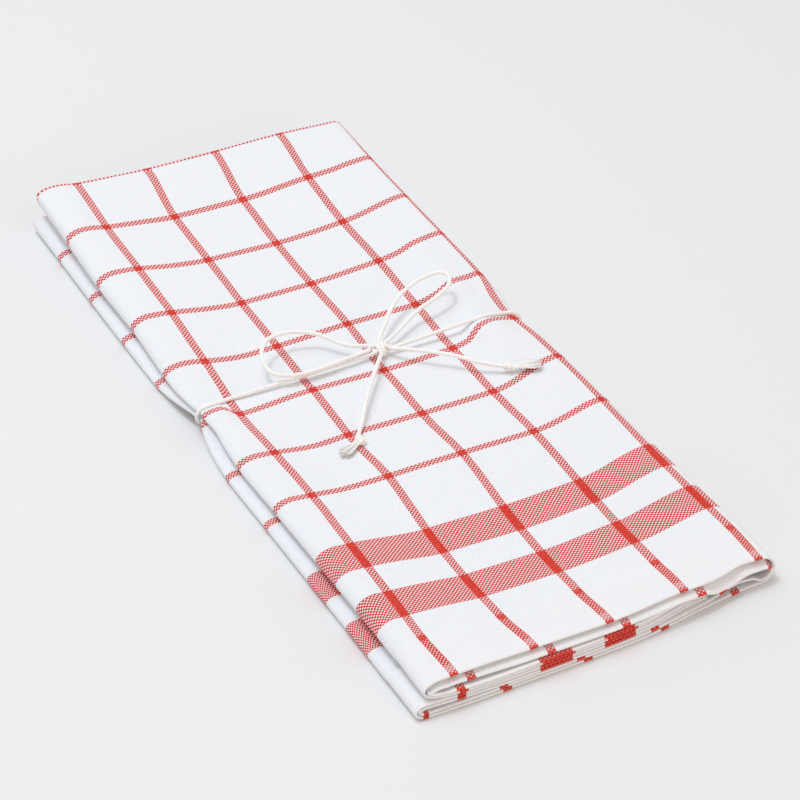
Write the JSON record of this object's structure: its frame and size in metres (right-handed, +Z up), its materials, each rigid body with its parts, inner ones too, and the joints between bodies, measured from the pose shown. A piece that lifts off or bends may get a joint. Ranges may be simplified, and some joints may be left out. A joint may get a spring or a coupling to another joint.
{
  "type": "folded tea towel",
  "caption": "Checked cotton tea towel folded into a long flat pack of layers and tied round its middle with thin string in a bow.",
  "frame": {"origin": "centre of the pack's footprint, on the surface it lies on", "axes": "+Y along the pack's length, from its hem end to its folded end; +Z up, out of the face with the bow; +X to the right, away from the two side folds"},
  "size_m": [0.1423, 0.3272, 0.024],
  "materials": {
    "cloth": "matte",
    "string": "matte"
  },
  "bodies": {
    "root": {"towel_cloth": "cloth", "string_band": "string", "string_knot": "string", "string_loop_left": "string", "string_loop_right": "string", "string_tail_front": "string", "string_tail_side": "string", "string_end_front": "string", "string_end_side": "string"}
  },
  "joints": []
}
